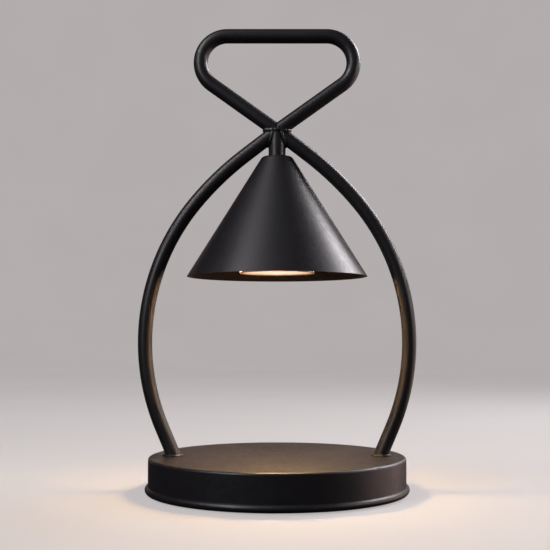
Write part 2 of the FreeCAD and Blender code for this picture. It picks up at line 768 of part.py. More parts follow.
def holder_contacts():
    """Spring strips: over the pin head, up a riser, and in to the tab that the wire is soldered to."""
    sheet = contact_sheet
    reach = pin_circle - contact_reach
    riser = pin_circle + contact_riser
    tab_end = wire_gap
    outline = [(reach, spring_bottom), (riser, spring_bottom), (riser, tab_height), (tab_end, tab_height),
               (tab_end, tab_height - sheet), (riser - sheet, tab_height - sheet),
               (riser - sheet, spring_bottom + sheet), (reach, spring_bottom + sheet)]
    outline.append(outline[0])
    face = Part.Face(Part.makePolygon([V(-contact_half_width, y, z) for y, z in outline]))
    return at_angles(face.extrude(RIGHT * (2 * contact_half_width)), (0, 180))


# ---- Lamp ---------------------------------------------------------------------------------------------
def bulb_base():
    """Ceramic base: straight cap that meets the holder, tapered out to a collar on the glass neck."""
    body = turned([
        (0, lamp_top), (lamp_cap_radius - lamp_cap_chamfer, lamp_top),
        (lamp_cap_radius, lamp_top - lamp_cap_chamfer), (lamp_cap_radius, lamp_cap_bottom),
        (lamp_neck_radius, lamp_neck + lamp_collar_height), (lamp_neck_radius, lamp_neck), (0, lamp_neck),
    ])
    socket = upright(pin_neck_radius, lamp_top - pin_root, lamp_top, 0, pin_circle)
    return body.cut(at_angles(socket, (0, 180)))


def bulb_pins():
    """Bayonet pins with mushroom heads, one behind the other when locked."""
    root = lamp_top - pin_root
    pin = turned([
        (0, root), (pin_neck_radius, root), (pin_neck_radius, head_bottom), (pin_head_radius, head_bottom),
        (pin_head_radius, head_top - thread_chamfer), (pin_head_radius - thread_chamfer, head_top),
        (0, head_top),
    ])
    pin.translate(REAR * pin_circle)
    return at_angles(pin, (0, 180))


def bulb_reflector():
    """Pressed glass bowl on the neck, with a straight rim and a step for the lens."""
    rim_top = lamp_face_height + lamp_rim_height
    bowl = lamp_face_radius - lamp_rim_step
    seat = lens_radius - lamp_glass
    return turned([
        bowed((bowl, rim_top), (lamp_neck_radius, lamp_neck), lamp_bowl_bulge),
        bowed((lamp_neck_radius - lamp_glass, lamp_neck), (bowl - lamp_glass, rim_top), -lamp_bowl_bulge),
        (seat, lens_top), (lens_radius, lens_top), (lens_radius, lamp_face_height),
        (lamp_face_radius, lamp_face_height), (lamp_face_radius, rim_top),
    ])


def bulb_lens():
    """Front glass, domed outward a little, set in the rim's step."""
    return turned([
        crowned(lens_radius - lens_flat_margin, lens_dome, lens_bottom),
        (lens_radius, lens_bottom), (lens_radius, lens_top), (0, lens_top),
    ])


def round_ended(radius, bottom, top):
    """Upright rod whose lower end is a half ball."""
    middle = bottom + radius
    return upright(radius, middle, top).fuse(Part.makeSphere(radius, V(0, 0, middle))).removeSplitter()


def bulb_capsule():
    """Quartz capsule, hollow, with a pinched end held in the base."""
    bottom = lamp_neck - capsule_height
    shell = round_ended(capsule_radius, bottom, pinch_bottom)
    bore = round_ended(capsule_radius - capsule_wall, bottom + capsule_wall, pinch_bottom - capsule_wall)
    pinch = block(-capsule_radius, capsule_radius, -pinch_half_thickness, pinch_half_thickness,
                  pinch_bottom, lamp_neck)
    return shell.cut(bore).fuse(pinch)


def bulb_filament():
    """Coiled filament, drawn as its outer form, upright in the capsule."""
    middle = (lamp_neck - capsule_height + pinch_bottom) / 2
    return upright(filament_radius, middle - filament_length / 2, middle + filament_length / 2)


# ---- Wiring -------------------------------------------------------------------------------------------
def pole_sides():
    return [pole_pitch / 2, -pole_pitch / 2]


def turret_places():
    return [block_middle + turret_offset, block_middle - turret_offset]


def terminal_block():
    """Two-pole block under the weight plate: a tube for each pole, screw turrets below, web between."""
    web = block(block_near_end, block_far_end, -pole_pitch / 2, pole_pitch / 2,
                plate_bottom - block_web, plate_bottom)
    solid = [web]
    holes = [upright(screw_radius + screw_play, 0, plate_bottom, block_middle)]
    for y in pole_sides():
        start = V(block_near_end, y, pole_height)
        solid.append(level_rod(pole_radius, start, block_length))
        solid.append(block(block_near_end, block_far_end, y - pole_radius, y + pole_radius,
                           pole_height, plate_bottom))
        holes.append(level_rod(wire_radius + wire_play, start, block_length))
        holes.append(level_rod(sleeve_radius, start + RIGHT * sleeve_inset, block_length - 2 * sleeve_inset))
        for x in turret_places():
            solid.append(upright(turret_radius, turret_bottom, pole_height, x, y))
            holes.append(upright(clamp_screw_radius + clamp_screw_play, 0, pole_height, x, y))
    body = solid[0].fuse(solid[1:]).removeSplitter()
    return body.cut(holes)


def terminal_sleeves():
    """Brass sleeves inside the poles, tapped for the clamp screws."""
    length = block_length - 2 * sleeve_inset
    sleeves = []
    for y in pole_sides():
        start = V(block_near_end + sleeve_inset, y, pole_height)
        holes = [upright(clamp_screw_radius, 0, pole_height, x, y) for x in turret_places()]
        holes.append(level_rod(sleeve_bore_radius, start, length))
        sleeves.append(level_rod(sleeve_radius, start, length).cut(holes))
    return Part.Compound(sleeves)


def terminal_screws():
    """Clamp screws, two to a pole, driven up from below to the wires."""
    bottom = turret_bottom + clamp_screw_sunk
    screw = upright(clamp_screw_radius, bottom, pole_height - wire_radius)
    half = clamp_slot_half_width
    screw = screw.cut(block(-far, far, -half, half, bottom, bottom + clamp_slot_depth))
    screws = []
    for y in pole_sides():
        for x in turret_places():
            copy = screw.copy()
            copy.translate(V(x, y, 0))
            screws.append(copy)
    return Part.Compound(screws)


def block_screw():
    """Fixes the terminal block to the weight plate."""
    screw = screw_from_below(plate_bottom - block_web, pan_underside - screw_point)
    screw.translate(RIGHT * block_middle)
    return screw


def lamp_wire(side):
    """One of the two wires: terminal block, stud, right arm, stem, nipple, lampholder."""
    y = side * wire_spacing
    pole_y = side * pole_pitch / 2
    crossing, shoulder, hip, foot = [p + REAR * y for p in arm_corners()]
    clamped = V(block_middle, pole_y, pole_height)
    out = V(block_far_end + wire_straight_out, pole_y, pole_height)
    settled = V(out.x + wire_settling, y, wire_low)
    points = [clamped, out, settled, V(stud_offset, y, wire_low), foot, hip, shoulder, crossing,
              V(0, y, tab_height)]
    radii = [wire_sway_bend, wire_sway_bend, wire_rise_bend, wire_stud_bend]
    setbacks = [setback(*points[i:i + 3], radius) for i, radius in enumerate(radii)]
    setbacks += reversed(arm_setbacks())
    setbacks.append(setback(shoulder, crossing, points[-1], wire_crossing_bend))
    return swept(bent_path(points, setbacks), wire_radius)


def live_wire():
    return lamp_wire(1)


def neutral_wire():
    return lamp_wire(-1)


PIECES = [
    base_pan, weight_plate, bottom_cover, cover_standoffs, cover_screws, rubber_feet, cord_bushing,
    foot_studs, foot_washers, foot_nuts, wire_bush,
    arm_left, arm_right, handle_loop, stem, weld_beads,
    shade, stem_nipple, shade_washer, shade_nut, bracket_nut, holder_bracket, holder_screws,
    lampholder, holder_contacts,
    bulb_base, bulb_pins, bulb_reflector, bulb_lens, bulb_capsule, bulb_filament,
    terminal_block, terminal_sleeves, terminal_screws, block_screw, live_wire, neutral_wire,
]

os.makedirs("parts", exist_ok=True)
for piece in PIECES:
    piece().exportStep("parts/" + piece.__name__ + ".step")
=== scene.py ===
"""Looks of the candle warmer lamp: its finishes, weld metal and lit lamp, with a studio and a camera.

Lengths are in metres and angles in radians, apart from those that a comment gives in another unit.
"""

import json
import math
import random

import bmesh
import bpy
from mathutils import Matrix, Quaternion, Vector, noise


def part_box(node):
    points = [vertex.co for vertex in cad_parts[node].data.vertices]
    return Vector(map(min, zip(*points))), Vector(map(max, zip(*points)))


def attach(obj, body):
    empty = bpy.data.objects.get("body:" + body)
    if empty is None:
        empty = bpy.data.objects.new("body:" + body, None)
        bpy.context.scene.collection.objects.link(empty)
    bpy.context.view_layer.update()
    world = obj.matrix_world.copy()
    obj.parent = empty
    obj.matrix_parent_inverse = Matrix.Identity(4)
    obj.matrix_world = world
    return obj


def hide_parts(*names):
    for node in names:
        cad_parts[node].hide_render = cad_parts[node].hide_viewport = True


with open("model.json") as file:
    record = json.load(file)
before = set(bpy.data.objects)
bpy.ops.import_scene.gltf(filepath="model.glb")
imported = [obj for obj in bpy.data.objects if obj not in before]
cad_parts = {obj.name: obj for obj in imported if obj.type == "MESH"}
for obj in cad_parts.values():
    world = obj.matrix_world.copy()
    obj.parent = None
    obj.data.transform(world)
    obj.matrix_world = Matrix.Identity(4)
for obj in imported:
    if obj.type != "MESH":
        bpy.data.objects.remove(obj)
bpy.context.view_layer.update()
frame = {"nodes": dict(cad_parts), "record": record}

NODES = frame["nodes"]
SLOT_OF = {piece["node"]: piece["material_slot"] for piece in frame["record"]["subparts"]}
MM = 0.001
FULL_TURN = 2 * math.pi
QUARTER_TURN = math.pi / 2

# ---- Camera: in front of the lamp, at the height of its candle, and looking up a little ---------------
PICTURE_WIDTH = 550                 # pixels
EYE_DISTANCE = 0.660
EYE_HEIGHT = 0.1028
EYE_ASIDE = -0.0014                 # left of the lamp's axis
FOCAL_PIXELS = 991.4
CAMERA_TILT = math.radians(1.51)
CAMERA_SHIFT = 0.065                # share of the picture's width
SENSOR_WIDTH = 36.0                 # millimetres
NEAREST_SEEN = 0.01

# ---- Nodes: a Mix node's colour sockets, which have the same names as its other ones ------------------
MIX_FIRST = 6
MIX_SECOND = 7
MIX_RESULT = 2

# ---- Noise: it gathers about 0.5, so finishes spread one of these parts of its range ------------------
NOISE_WIDE = (0.25, 0.75)
NOISE_MOST = (0.3, 0.7)
NOISE_MIDDLE = (0.35, 0.65)
NOISE_HIGH = (0.45, 0.75)

# ---- Powder coat --------------------------------------------------------------------------------------
COAT_BLACK = (0.0080, 0.0070, 0.0084)
COAT_WORN = (0.030, 0.026, 0.024)
PATCH_LIGHTER = 1.5                 # times the black
PATCH_PITCH = 34 * MM
GRAIN_PITCH = 0.9 * MM
GRAIN_DEPTH = 0.016 * MM
PEEL_PITCH = 2.2 * MM
PEEL_DEPTH = 0.030 * MM
MOTTLE_PITCH = 2.8 * MM
WEAR_PITCH = 3 * MM
WEAR_WIDTH = 0.7 * MM               # in from an edge
WEAR_SPREAD = (0.45, 0.7)           # part of its noise's range
COAT_ROUGHNESS = (0.38, 0.45)
GRAIN_ROUGHNESS = (-0.04, 0.04)     # added to it, as the next one is
MOTTLE_ROUGHNESS = (-0.03, 0.03)
WEAR_ROUGHNESS = 0.10               # taken from it
EDGE_SAMPLES = 4
EDGE_LEAN = (0.99, 0.86)            # cosines: where an edge starts, and where it is full

# ---- Weld metal ---------------------------------------------------------------------------------------
WELD_VOXEL = 0.28 * MM
WELD_RIPPLE = 0.28 * MM
WELD_RIPPLE_PITCH = 1.9 * MM
WELD_GRAIN = 0.09 * MM
WELD_GRAIN_PITCH = 0.7 * MM
WELD_SEED = 7
WELD_DROPS = 18                     # round the seam under the loop
DROP_SWAY = 0.3                     # share of the way to the next drop
DROP_RADII = (0.8 * MM, 1.7 * MM)
DROP_STRAY = 0.9 * MM
TUBE_RADIUS = 4.75 * MM
SEAM_HALF_LENGTH = 8.1 * MM

# ---- Lamp ---------------------------------------------------------------------------------------------
FACET_COLUMNS = 32
FACET_ROWS = 9
FACET_PARTS = 3                     # mesh sides to a facet
OUTSIDE_STEPS = 24
FACE_RADIUS = 25.0 * MM
RIM_HEIGHT = 3.6 * MM
RIM_CHAMFER = 0.4 * MM
BOWL_RADIUS = 24.0 * MM
NECK_RADIUS = 12.0 * MM
BOWL_BULGE = 1.6 * MM
GLASS = 1.6 * MM
LENS_RADIUS = 23.4 * MM
LENS_BACK = 2.3 * MM                # above the face
LENS_HOT = 4 * MM                   # radius of its hottest middle
BOWL_HOT = 6 * MM
GLOW_EDGE = 23 * MM                 # radius where both glow least

# ---- Light of the lamp --------------------------------------------------------------------------------
LAMP_DISK = 0.040
LAMP_WATTS = 0.50
LAMP_AMBER = (1.0, 0.60, 0.25)
LAMP_BELOW_FACE = 0.6 * MM
LEAKS = 4
LEAK_WATTS = 0.030
LEAK_AMBER = (1.0, 0.50, 0.17)
LEAK_CIRCLE = 0.030                 # radius
LEAK_SIZE = 0.002
LEAK_ABOVE_FACE = 2 * MM

# ---- Studio -------------------------------------------------------------------------------------------
WHITE = (1.0, 1.0, 1.0)
COOL_WHITE = (0.98, 0.93, 1.0)
FILL_STRENGTH = 0.02
PAINT_CLOUDS = 0.25
STUDIO_MIDDLE = Vector((0, 0, 0.17))
LIGHT_DISTANCE = 1.1
SOFT_BOXES = {
    # name: azimuth, elevation and roll in degrees, width, height, radiance, colour
    "key_back_right": (124, 33, 33, 0.72, 0.38, 14.5, (1.0, 0.95, 0.99)),
    "low_right": (106, -6, 0, 1.10, 0.50, 1.60, (1.0, 0.70, 0.63)),
    "front_right": (73, 12, 0, 0.24, 0.22, 12.0, (1.0, 0.95, 0.95)),
    "upper_left": (306, 66, 0, 0.42, 0.42, 1.1, COOL_WHITE),
    "side_left": (305, 42, 0, 0.42, 0.36, 11.0, (0.98, 0.94, 1.0)),
    "front_left": (320, 17, 0, 0.18, 0.20, 21.0, (0.98, 0.97, 1.0)),
    "front": (0, 32, 0, 1.0, 0.6, 0.12, COOL_WHITE),
    "overhead": (0, 78, 0, 0.50, 0.50, 0.3, WHITE),
}
BEHIND_PLACE = (0.3, 1.7, 0.35)
BEHIND_AIM = (0, 0, 0.10)
BEHIND_WIDTH = 3.2
BEHIND_HEIGHT = 1.0
BEHIND_WATTS = 2.8
BEHIND_COLOUR = (1.0, 0.76, 0.68)


# ======== Materials ====================================================================================

class Finish:
    """A procedural material: a Principled shader and short names for the nodes that feed it."""

    def __init__(self, name, **plain):
        self.material = bpy.data.materials.new(name)
        self.material.use_nodes = True
        self.nodes = self.material.node_tree.nodes
        self.links = self.material.node_tree.links
        self.shader = self.nodes["Principled BSDF"]
        self.place = self.nodes.new("ShaderNodeTexCoord").outputs["Object"]
        for socket, value in plain.items():
            self.set(socket.replace("_", " "), value)

    def set(self, socket, value):
        """A plain value on one of the shader's sockets."""
        if isinstance(value, tuple) and len(value) == 3:
            value = (*value, 1.0)
        self.shader.inputs[socket].default_value = value

    def feed(self, socket, output):
        """What a node gives, on one of the shader's sockets."""
        self.links.new(output, self.shader.inputs[socket])

    def join(self, value, socket):
        """A plain value or another node's output, on a node's socket."""
        if isinstance(value, bpy.types.NodeSocket):
            self.links.new(value, socket)
        elif isinstance(value, tuple) and len(value) == 3 and socket.type == "RGBA":
            socket.default_value = (*value, 1.0)
        else:
            socket.default_value = value

    def spots(self, pitch, detail, rough=0.5, stretch=(1.0, 1.0, 1.0)):
        """Soft noise whose features are about a pitch apart."""
        scale = self.nodes.new("ShaderNodeVectorMath")
        scale.operation = "MULTIPLY"
        self.join(self.place, scale.inputs[0])
        self.join(stretch, scale.inputs[1])
        made = self.nodes.new("ShaderNodeTexNoise")
        self.join(scale.outputs[0], made.inputs["Vector"])
        made.inputs["Scale"].default_value = 1 / pitch
        made.inputs["Detail"].default_value = detail
        made.inputs["Roughness"].default_value = rough
        return made.outputs["Fac"]

    def waves(self, half_spacing, distortion=0.0, **kind):
        """Waves that are about twice the half spacing from crest to crest."""
        made = self.nodes.new("ShaderNodeTexWave")
        for setting, choice in kind.items():
            setattr(made, setting, choice)
        made.inputs["Scale"].default_value = 1 / half_spacing / FULL_TURN
        made.inputs["Distortion"].default_value = distortion
        self.join(self.place, made.inputs["Vector"])
        return made.outputs["Fac"]

    def span(self, value, low, high, to_low=0.0, to_high=1.0):
        """The value, spread from one range to another and held inside it."""
        made = self.nodes.new("ShaderNodeMapRange")
        made.clamp = True
        for socket, number in zip(("Value", "From Min", "From Max", "To Min", "To Max"),
                                  (value, low, high, to_low, to_high)):
            self.join(number, made.inputs[socket])
        return made.outputs["Result"]

    def arithmetic(self, operation, first, second):
        """One step of arithmetic."""
        made = self.nodes.new("ShaderNodeMath")
        made.operation = operation
        self.join(first, made.inputs[0])
        self.join(second, made.inputs[1])
        return made.outputs[0]

    def mix(self, share, first, second):
        """A colour between two."""
        made = self.nodes.new("ShaderNodeMix")
        made.data_type = "RGBA"
        self.join(share, made.inputs["Factor"])
        self.join(first, made.inputs[MIX_FIRST])
        self.join(second, made.inputs[MIX_SECOND])
        return made.outputs[MIX_RESULT]

    def edges(self, width):
        """From 0 on open faces to 1 at edges, by how far a rounded normal leans from the true one."""
        rounded = self.nodes.new("ShaderNodeBevel")
        rounded.samples = EDGE_SAMPLES
        rounded.inputs["Radius"].default_value = width
        true = self.nodes.new("ShaderNodeNewGeometry")
        lean = self.nodes.new("ShaderNodeVectorMath")
        lean.operation = "DOT_PRODUCT"
        self.join(rounded.outputs["Normal"], lean.inputs[0])
        self.join(true.outputs["Normal"], lean.inputs[1])
        return self.span(lean.outputs["Value"], *EDGE_LEAN)

    def bumps(self, *layers):
        """Relief from (height, depth) layers, one over the other."""
        under = None
        for height, depth in layers:
            made = self.nodes.new("ShaderNodeBump")
            made.inputs["Distance"].default_value = depth
            self.join(height, made.inputs["Height"])
            if under:
                self.join(under, made.inputs["Normal"])
            under = made.outputs["Normal"]
        self.feed("Normal", under)

    def from_axis(self):
        """Distance from the lamp's upright axis."""
        flat = self.nodes.new("ShaderNodeVectorMath")
        flat.operation = "MULTIPLY"
        self.join(self.place, flat.inputs[0])
        flat.inputs[1].default_value = (1, 1, 0)
        length = self.nodes.new("ShaderNodeVectorMath")
        length.operation = "LENGTH"
        self.join(flat.outputs[0], length.inputs[0])
        return length.outputs["Value"]


def powder_coat_black():
    """Satin powder coat: fine grain, a soft orange peel, clouded patches and edges that are a little worn."""
    coat = Finish("powder_coat_black")
    grain = coat.spots(GRAIN_PITCH, detail=3, rough=0.6)
    peel = coat.spots(PEEL_PITCH, detail=1)
    patches = coat.spots(PATCH_PITCH, detail=3, rough=0.55)
    edge = coat.edges(WEAR_WIDTH)
    worn_places = coat.span(coat.spots(WEAR_PITCH, detail=3), *WEAR_SPREAD)
    worn = coat.arithmetic("MULTIPLY", edge, worn_places)
    body = coat.mix(patches, COAT_BLACK, tuple(PATCH_LIGHTER * c for c in COAT_BLACK))
    coat.feed("Base Color", coat.mix(worn, body, COAT_WORN))
    sheen = coat.span(patches, *NOISE_MOST, *COAT_ROUGHNESS)
    speckle = coat.span(grain, *NOISE_MOST, *GRAIN_ROUGHNESS)
    mottle = coat.span(coat.spots(MOTTLE_PITCH, detail=2), *NOISE_MIDDLE, *MOTTLE_ROUGHNESS)
    rough = coat.arithmetic("ADD", coat.arithmetic("ADD", sheen, speckle), mottle)
    smoother = coat.arithmetic("MULTIPLY", worn, WEAR_ROUGHNESS)
    coat.feed("Roughness", coat.arithmetic("SUBTRACT", rough, smoother))
    coat.bumps((peel, PEEL_DEPTH), (grain, GRAIN_DEPTH))
    return coat.material


def plated(name, colour, tint, rough=0.30):
    """Plated metal or brass: a clouded tint and fine upright scratches."""
    plate = Finish(name, Metallic=1.0)
    clouds = plate.spots(6 * MM, detail=3)
    scratches = plate.spots(0.35 * MM, detail=3, stretch=(1.0, 1.0, 0.12))
    plate.feed("Base Color", plate.mix(plate.span(clouds, *NOISE_MIDDLE), colour, tint))
    plate.feed("Roughness", plate.span(clouds, *NOISE_WIDE, rough - 0.06, rough + 0.12))
    plate.bumps((scratches, 0.008 * MM))
    return plate.material


def moulded(name, colour, rough, grain_pitch, grain_depth, **plain):
    """Moulded or sleeved polymer: fine grain and slightly uneven colour."""
    skin = Finish(name, **plain)
    grain = skin.spots(grain_pitch, detail=3, rough=0.6)
    clouds = skin.spots(9 * MM, detail=2)
    darker = tuple(0.85 * c for c in colour)
    lighter = tuple(1.15 * c for c in colour)
    skin.feed("Base Color", skin.mix(clouds, darker, lighter))
    skin.feed("Roughness", skin.span(grain, *NOISE_WIDE, rough - 0.06, rough + 0.06))
    skin.bumps((grain, grain_depth))
    return skin.material


def glazed_ceramic():
    """White steatite under a thin glaze, browned a little by the lamp's heat."""
    ware = Finish("glazed_ceramic", Coat_Weight=0.35, Coat_Roughness=0.18)
    clouds = ware.spots(5 * MM, detail=4, rough=0.6)
    pits = ware.spots(0.7 * MM, detail=2)
    browned = ware.span(clouds, *NOISE_HIGH)
    ware.feed("Base Color", ware.mix(browned, (0.80, 0.77, 0.70), (0.66, 0.58, 0.46)))
    ware.feed("Roughness", ware.span(pits, *NOISE_MOST, 0.34, 0.50))
    ware.bumps((pits, 0.02 * MM))
    return ware.material


def weight_iron():
    """Machined iron with faint turning marks and dull patches."""
    iron = Finish("weight_iron", Metallic=0.85)
    turning = iron.waves(1.6 * MM, 0.4, wave_type="RINGS", rings_direction="Z")
    patches = iron.spots(14 * MM, detail=4)
    iron.feed("Base Color", iron.mix(patches, (0.10, 0.10, 0.105), (0.22, 0.205, 0.19)))
    iron.feed("Roughness", iron.span(patches, *NOISE_MOST, 0.38, 0.62))
    iron.bumps((turning, 0.02 * MM))
    return iron.material


def coated_reflector_glass():
    """Pressed and mirrored glass that its capsule lights: warm at the neck and a dim amber at the rim."""
    glass = Finish("coated_reflector_glass", Metallic=0.6)
    away = glass.from_axis()
    clouds = glass.spots(3 * MM, detail=2)
    glass.feed("Base Color", glass.mix(clouds, (0.72, 0.60, 0.50), (0.85, 0.78, 0.70)))
    glass.feed("Roughness", glass.span(clouds, *NOISE_MOST, 0.10, 0.22))
    inner = glass.span(away, BOWL_HOT, GLOW_EDGE, 1.0, 0.25)
    glass.feed("Emission Color", glass.mix(inner, (0.80, 0.36, 0.13), (1.0, 0.74, 0.44)))
    glow = glass.arithmetic("MULTIPLY", inner, clouds)
    glass.feed("Emission Strength", glass.span(glow, 0.1, 0.6, 0.10, 0.8))
    glass.bumps((clouds, 0.05 * MM))
    return glass.material


def lit_lens_glass():
    """Front glass, glowing from the capsule behind it: hot in the middle and amber at the edge."""
    glass = Finish("lit_lens_glass", Base_Color=(1.0, 0.93, 0.84), Transmission_Weight=0.55, IOR=1.47)
    away = glass.from_axis()
    pressed = glass.spots(1.2 * MM, detail=1)
    heat = glass.span(away, LENS_HOT, GLOW_EDGE, 1.0, 0.0)
    glass.feed("Emission Color", glass.mix(heat, (0.42, 0.25, 0.15), (0.72, 0.54, 0.41)))
    glass.feed("Emission Strength", glass.span(pressed, *NOISE_MOST, 0.75, 1.0))
    glass.feed("Roughness", glass.span(pressed, *NOISE_MOST, 0.10, 0.20))
    glass.bumps((pressed, 0.06 * MM))
    return glass.material


def quartz_glass():
    """Clear quartz, full of light."""
    glass = Finish("quartz_glass", Base_Color=(1.0, 0.97, 0.92), Transmission_Weight=0.6, IOR=1.46,
                   Emission_Strength=2.5)
    ripple = glass.spots(1.5 * MM, detail=1)
    glass.feed("Roughness", glass.span(ripple, *NOISE_MOST, 0.04, 0.10))
    glass.feed("Emission Color", glass.mix(ripple, (1.0, 0.80, 0.55), (1.0, 0.88, 0.68)))
    glass.bumps((ripple, 0.03 * MM))
    return glass.material


def tungsten():
    """Glowing filament: a tight coil, as ripples on its outer form."""
    wire = Finish("tungsten", Metallic=1.0, Roughness=0.4, Emission_Strength=8.0)
    coil = wire.waves(0.6 * MM, bands_direction="Z")
    wire.feed("Base Color", wire.mix(coil, (0.30, 0.27, 0.24), (0.60, 0.55, 0.48)))
    wire.feed("Emission Color", wire.mix(coil, (1.0, 0.55, 0.20), (1.0, 0.86, 0.58)))
    wire.bumps((coil, 0.15 * MM))
    return wire.material


FINISHES = {
    "powder_coat_black": powder_coat_black(),
    "weight_iron": weight_iron(),
    "zinc_plated_steel": plated("zinc_plated_steel", (0.60, 0.61, 0.60), (0.62, 0.59, 0.50)),
    "nickel_plate": plated("nickel_plate", (0.70, 0.68, 0.63), (0.60, 0.56, 0.50), rough=0.22),
    "black_rubber": moulded("black_rubber", (0.020, 0.020, 0.021), 0.72, 0.9 * MM, 0.03 * MM),
    "black_nylon": moulded("black_nylon", (0.024, 0.024, 0.026), 0.48, 0.6 * MM, 0.015 * MM),
    "white_nylon": moulded("white_nylon", (0.76, 0.75, 0.71), 0.42, 0.8 * MM, 0.010 * MM,
                           Subsurface_Weight=0.1),
    "brass": plated("brass", (0.72, 0.55, 0.26), (0.60, 0.42, 0.18), rough=0.26),
    "brown_sleeve": moulded("brown_sleeve", (0.16, 0.07, 0.03), 0.55, 0.5 * MM, 0.02 * MM),
    "blue_sleeve": moulded("blue_sleeve", (0.045, 0.11, 0.34), 0.55, 0.5 * MM, 0.02 * MM),
    "glazed_ceramic": glazed_ceramic(),
    "coated_reflector_glass": coated_reflector_glass(),
    "lit_lens_glass": lit_lens_glass(),
    "quartz_glass": quartz_glass(),
    "tungsten": tungsten(),
}


def dress_nodes():
    """Every CAD node gets the finish of its slot."""
    for name, node in NODES.items():
        node.data.materials.clear()
        node.data.materials.append(FINISHES[SLOT_OF[name]])


# ======== Pieces =======================================================================================

def smooth_object(name, mesh):
    """A new object that shades its mesh smoothly, in the frame's own place."""
    mesh.polygons.foreach_set("use_smooth", [True] * len(mesh.polygons))
    made = bpy.data.objects.new(name, mesh)
    bpy.context.scene.collection.objects.link(made)
    return made


def object_from(name, points, faces):
    """A new smooth object from its points and faces."""
    mesh = bpy.data.meshes.new(name)
    mesh.from_pydata(points, [], faces)
    mesh.validate()
    return smooth_object(name, mesh)


def settle(made, body, slot, *nodes):
    """Finish, body and slot of a new piece, and the nodes it stands for."""
    made.data.materials.append(FINISHES[slot])
    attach(made, body)
    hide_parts(*nodes)


def add_drops(metal):
    """Drops of weld metal along the oval seam under the handle's loop, each a little out of its place."""
    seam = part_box("arm_left")[1].z
    draws = random.Random(WELD_SEED)
    for drop in range(WELD_DROPS):
        turn = FULL_TURN * (drop + draws.uniform(-DROP_SWAY, DROP_SWAY)) / WELD_DROPS
        stray = Vector([draws.uniform(-DROP_STRAY, DROP_STRAY) for axis in "xyz"])
        place = Vector((SEAM_HALF_LENGTH * math.cos(turn), TUBE_RADIUS * math.sin(turn), seam)) + stray
        bmesh.ops.create_icosphere(metal, subdivisions=2, radius=draws.uniform(*DROP_RADII),
                                   matrix=Matrix.Translation(place))


def weld_metal():
    """Lumpy weld metal: the beads' own form and drops, joined in one even mesh and roughened."""
    draft = bpy.data.objects.new("weld_draft", NODES["weld_beads"].data.copy())
    bpy.context.scene.collection.objects.link(draft)
    lumpy = bmesh.new()
    lumpy.from_mesh(draft.data)
    add_drops(lumpy)
    lumpy.to_mesh(draft.data)
    lumpy.free()
    even = draft.modifiers.new("even", "REMESH")
    even.mode = "VOXEL"
    even.voxel_size = WELD_VOXEL
    evaluated = draft.evaluated_get(bpy.context.evaluated_depsgraph_get())
    mesh = bpy.data.meshes.new_from_object(evaluated)
    bpy.data.objects.remove(draft)
    mesh.name = "weld_metal"
    normals = [vertex.normal.copy() for vertex in mesh.vertices]
    for vertex, normal in zip(mesh.vertices, normals):
        place = vertex.co.copy()
        ripple = noise.noise(place / WELD_RIPPLE_PITCH)
        grain = noise.noise(place / WELD_GRAIN_PITCH)
        vertex.co = place + normal * (WELD_RIPPLE * ripple + WELD_GRAIN * grain)
    mesh.materials.clear()
    made = smooth_object("weld_metal", mesh)
    settle(made, "lamp", "powder_coat_black", "weld_beads")


def bowed_profile(start, end, bulge, steps):
    """Points from one (radius, height) to another, on a bow that stands off the straight line by a bulge."""
    along = Vector(end) - Vector(start)
    aside = Vector((along.y, -along.x)).normalized()
    points = []
    for step in range(steps + 1):
        share = step / steps
        # 4 * share * (1 - share) is 0 at both ends and 1 in the middle
        points.append(Vector(start) + along * share + aside * bulge * 4 * share * (1 - share))
    return points


def ring_of(radius, height, facets, parts):
    """A ring of corners on a circle, with the flat between two of them split into parts."""
    points = []
    for facet in range(facets):
        here = FULL_TURN * facet / facets
        after = FULL_TURN * (facet + 1) / facets
        for part in range(parts):
            share = part / parts
            x = (1 - share) * math.cos(here) + share * math.cos(after)
            y = (1 - share) * math.sin(here) + share * math.sin(after)
            points.append((radius * x, radius * y, height))
    return points


def faceted_reflector():
    """The lamp's bowl: smooth outside and pressed into rings of flat facets inside."""
    low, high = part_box("bulb_reflector")
    face, neck = low.z, high.z
    rim = face + RIM_HEIGHT
    lens_back = face + LENS_BACK
    sides = FACET_COLUMNS * FACET_PARTS
    outside = bowed_profile((BOWL_RADIUS, rim), (NECK_RADIUS, neck), BOWL_BULGE, OUTSIDE_STEPS)
    inside = bowed_profile((NECK_RADIUS - GLASS, neck), (BOWL_RADIUS - GLASS, rim), -BOWL_BULGE, FACET_ROWS)
    smooth = [(LENS_RADIUS, face + RIM_CHAMFER), (LENS_RADIUS + RIM_CHAMFER, face),
              (FACE_RADIUS - RIM_CHAMFER, face), (FACE_RADIUS, face + RIM_CHAMFER),
              (FACE_RADIUS, rim - RIM_CHAMFER), (FACE_RADIUS - RIM_CHAMFER, rim), *outside]
    flat = [*inside, (LENS_RADIUS - GLASS, lens_back), (LENS_RADIUS, lens_back)]
    points = []
    for radius, height in smooth:
        points += ring_of(radius, height, sides, 1)
    for radius, height in flat:
        points += ring_of(radius, height, FACET_COLUMNS, FACET_PARTS)
    rings = len(smooth) + len(flat)
    faces = []
    rounded = []
    for ring in range(rings):
        here, there = ring * sides, (ring + 1) % rings * sides
        for side in range(sides):
            after = (side + 1) % sides
            faces.append((here + side, here + after, there + after, there + side))
            rounded.append(ring < len(smooth) - 1)
    made = object_from("faceted_reflector", points, faces)
    made.data.polygons.foreach_set("use_smooth", rounded)
    settle(made, "bulb", "coated_reflector_glass", "bulb_reflector")


# ======== Studio =======================================================================================

def hidden_light(name, kind, place, power, colour):
    """A light that the camera doesn't see."""
    data = bpy.data.lights.new(name, kind)
    data.energy = power
    data.color = colour
    made = bpy.data.objects.new(name, data)
    made.location = place
    made.visible_camera = False
    bpy.context.scene.collection.objects.link(made)
    return made


